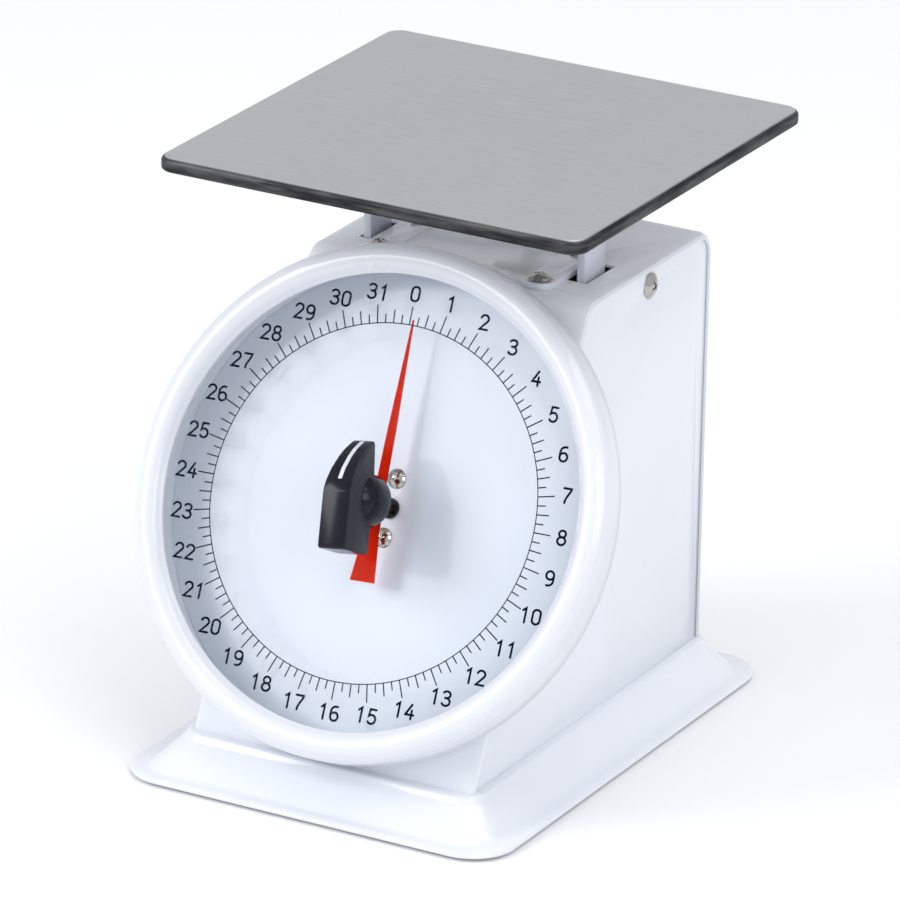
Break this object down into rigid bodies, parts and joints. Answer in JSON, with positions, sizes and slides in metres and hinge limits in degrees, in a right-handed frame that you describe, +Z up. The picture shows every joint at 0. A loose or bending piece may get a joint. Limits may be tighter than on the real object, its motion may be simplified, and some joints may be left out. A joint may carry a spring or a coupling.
{
  "type": "mechanical dial platform scale",
  "caption": "Mechanical counter scale with a flat square platform on two posts over an enamelled housing, a leaning round dial, a red pointer, and a knob that turns the dial to tare.",
  "frame": {"origin": "middle of the base footprint, on the surface the feet stand on", "axes": "+Z up, +X to the reader's right, the dial faces -Y and leans back towards +Y"},
  "size_m": [0.1636, 0.1866, 0.1954],
  "materials": {
    "white_enamel": "gloss",
    "white_plastic": "gloss",
    "dial_white": "satin",
    "stainless": "satin",
    "plated_steel": "satin",
    "spring_steel": "satin",
    "bright_screw": "polished",
    "aluminium": "satin",
    "brass": "satin",
    "nylon": "satin",
    "black_plastic": "gloss",
    "black_rubber": "matt",
    "red_paint": "satin",
    "clear_plastic": "clear gloss"
  },
  "bodies": {
    "housing": {"base_pan": "white_enamel", "rubber_feet": "black_rubber", "foot_screws": "plated_steel", "foot_nuts": "plated_steel", "housing_shell": "white_enamel", "side_panel_right": "white_enamel", "side_panel_left": "white_enamel", "side_screws": "bright_screw", "rear_cover": "white_enamel", "rear_screws": "bright_screw", "top_plate": "white_enamel", "top_plate_screws": "bright_screw", "dial_case": "white_enamel", "backing_plate": "dial_white", "case_screws": "bright_screw", "bezel": "white_plastic", "retaining_ring": "white_plastic", "arbor_bushing": "black_plastic", "pinion_bracket": "plated_steel", "bracket_screws": "plated_steel", "rack_guide": "nylon", "mechanism_frame": "plated_steel", "frame_pins": "plated_steel", "dashpot_cylinder": "aluminium"},
    "carriage": {"post_right": "white_enamel", "post_left": "white_enamel", "carriage_crossbar": "plated_steel", "carriage_stem": "plated_steel", "spring_yoke": "plated_steel", "carriage_pins": "plated_steel", "rack_arm": "plated_steel", "rack_pin": "plated_steel", "dashpot_piston": "nylon"},
    "platform": {"platform_tray": "stainless", "cross_bracket": "stainless", "post_sockets": "plated_steel"},
    "upper_link": {"upper_link": "plated_steel"},
    "lower_link": {"lower_link": "plated_steel"},
    "rack": {"rack": "brass"},
    "pointer_shaft": {"arbor": "brass", "pointer": "red_paint", "pointer_hub": "brass"},
    "dial": {"turning_dial": "clear_plastic", "knob": "black_plastic", "knob_line": "dial_white", "knob_screw": "bright_screw"},
    "zero_nut": {"zero_nut": "brass"},
    "hanger": {"spring_hanger": "plated_steel", "spring_right": "spring_steel", "spring_left": "spring_steel"}
  },
  "joints": [
    {"name": "carriage_slide", "type": "slide", "parent": "housing", "child": "carriage", "axis": [0, 0, 1], "range_m": [-0.0132, 0], "stiffness_N_per_m": 674, "springref_m": 0.0062, "deforming": ["spring_right", "spring_left"]},
    {"name": "platform_lift", "type": "slide", "parent": "carriage", "child": "platform", "axis": [0, 0, 1], "range_m": [0, 0.03]},
    {"name": "upper_link_turn", "type": "hinge", "parent": "housing", "child": "upper_link", "pos_m": [0, 0.062, 0.1], "axis": [1, 0, 0], "range_deg": [-0.5, 17.5]},
    {"name": "lower_link_turn", "type": "hinge", "parent": "housing", "child": "lower_link", "pos_m": [0, 0.062, 0.062], "axis": [1, 0, 0], "range_deg": [-0.5, 17.5]},
    {"name": "rack_slide", "type": "slide", "parent": "housing", "child": "rack", "axis": [0, 0.4446, 0.8957], "range_m": [-0.0149, 0.0001]},
    {"name": "pointer_turn", "type": "hinge", "parent": "housing", "child": "pointer_shaft", "pos_m": [0, -0.0512, 0.0931], "axis": [0, -0.8957, 0.4446], "range_deg": [-353, 1]},
    {"name": "dial_turn", "type": "hinge", "parent": "housing", "child": "dial", "pos_m": [0, -0.0512, 0.0931], "axis": [0, -0.8957, 0.4446], "continuous": true},
    {"name": "zero_nut_turn", "type": "hinge", "parent": "housing", "child": "zero_nut", "pos_m": [0, 0.045, 0.158], "axis": [0, 0, 1], "range_deg": [-361, 361]},
    {"name": "hanger_slide", "type": "slide", "parent": "housing", "child": "hanger", "axis": [0, 0, 1], "range_m": [-0.0007, 0.0007]}
  ],
  "couplings": [
    {"joint": "upper_link_turn", "follows": "carriage_slide", "rad_per_m": -22.08},
    {"joint": "lower_link_turn", "follows": "carriage_slide", "rad_per_m": -22.08},
    {"joint": "rack_slide", "follows": "carriage_slide", "ratio": 1.1164},
    {"joint": "pointer_turn", "follows": "carriage_slide", "rad_per_m": 465.18},
    {"joint": "zero_nut_turn", "follows": "hanger_slide", "rad_per_m": -8976}
  ]
}
